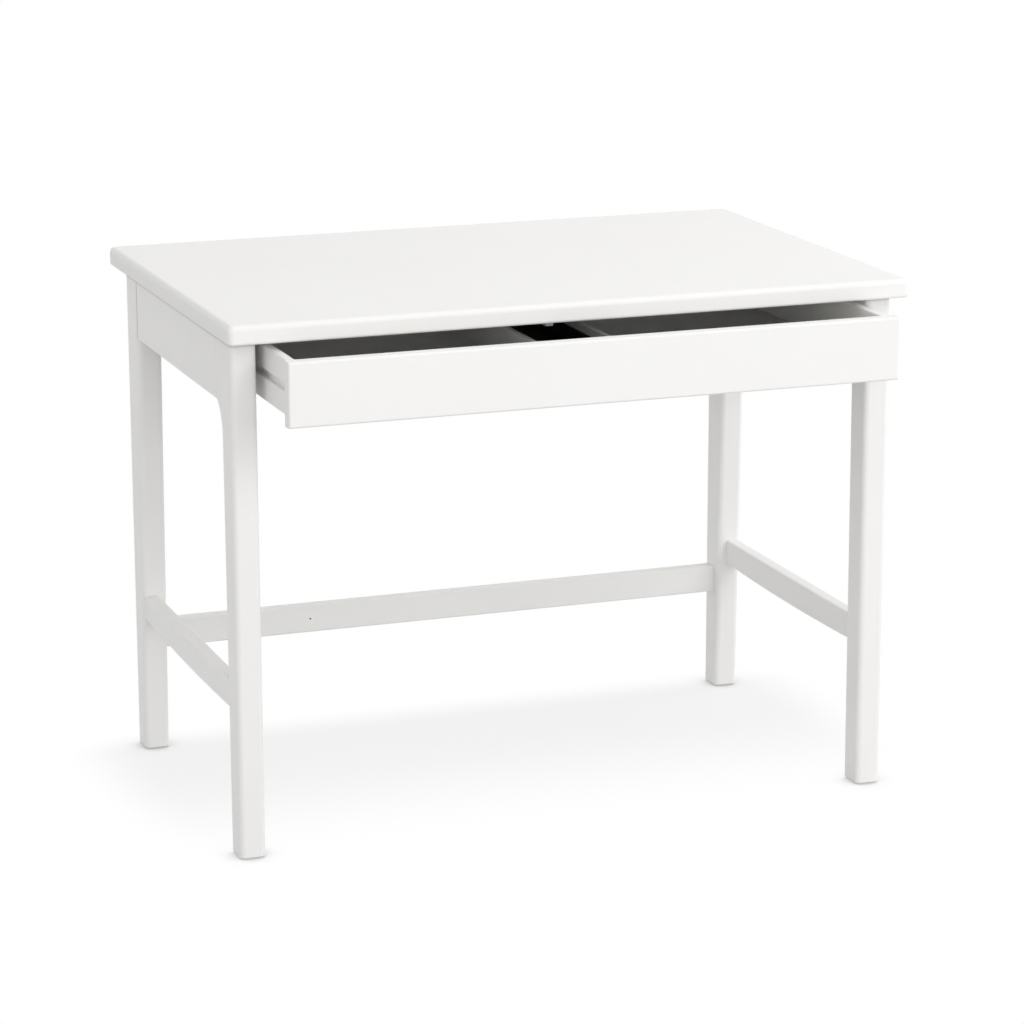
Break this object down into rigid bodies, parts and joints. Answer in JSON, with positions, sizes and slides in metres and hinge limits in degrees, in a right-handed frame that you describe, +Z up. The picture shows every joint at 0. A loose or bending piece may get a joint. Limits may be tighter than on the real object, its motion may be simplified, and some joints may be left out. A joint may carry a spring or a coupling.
{
  "type": "writing desk",
  "caption": "White painted writing desk with a rounded top, four legs joined by rails and stretchers, and a wide handle-less drawer with a pen tray, standing partly open.",
  "frame": {"origin": "on the floor under the middle of the desk's box, with the drawer as far open as at rest", "axes": "+X to the right as seen by the person who sits at the desk's front, +Y to the back, +Z up"},
  "size_m": [1, 0.745, 0.76],
  "materials": {
    "white_paint": "satin paint",
    "dowel_wood": "raw",
    "steel": "zinc plated",
    "white_plastic": "matte",
    "grey_plastic": "matte",
    "grey_board": "matt foil",
    "black_plastic": "matte"
  },
  "bodies": {
    "frame": {"tabletop": "white_paint", "leg_front_left": "white_paint", "leg_front_right": "white_paint", "leg_rear_left": "white_paint", "leg_rear_right": "white_paint", "side_rail_left": "white_paint", "side_rail_right": "white_paint", "back_rail": "white_paint", "side_stretcher_left": "white_paint", "side_stretcher_right": "white_paint", "back_stretcher": "white_paint", "drawer_runner_left": "white_paint", "drawer_runner_right": "white_paint", "drawer_stop": "white_plastic", "drawer_stop_screw": "steel", "rail_dowels": "dowel_wood", "stretcher_dowels": "dowel_wood", "cam_bolts": "steel", "cam_locks": "steel", "runner_screws": "steel", "top_brackets": "steel", "bracket_screws": "steel", "foot_glides": "grey_plastic"},
    "drawer": {"drawer_front": "white_paint", "drawer_side_left": "white_paint", "drawer_side_right": "white_paint", "drawer_back": "white_paint", "drawer_bottom": "grey_board", "drawer_divider_left": "grey_board", "drawer_divider_right": "grey_board", "pen_tray": "black_plastic", "drawer_dowels": "dowel_wood"}
  },
  "joints": [
    {"name": "drawer_slide", "type": "slide", "parent": "frame", "child": "drawer", "axis": [0, -1, 0], "range_m": [-0.122, 0.221]}
  ]
}
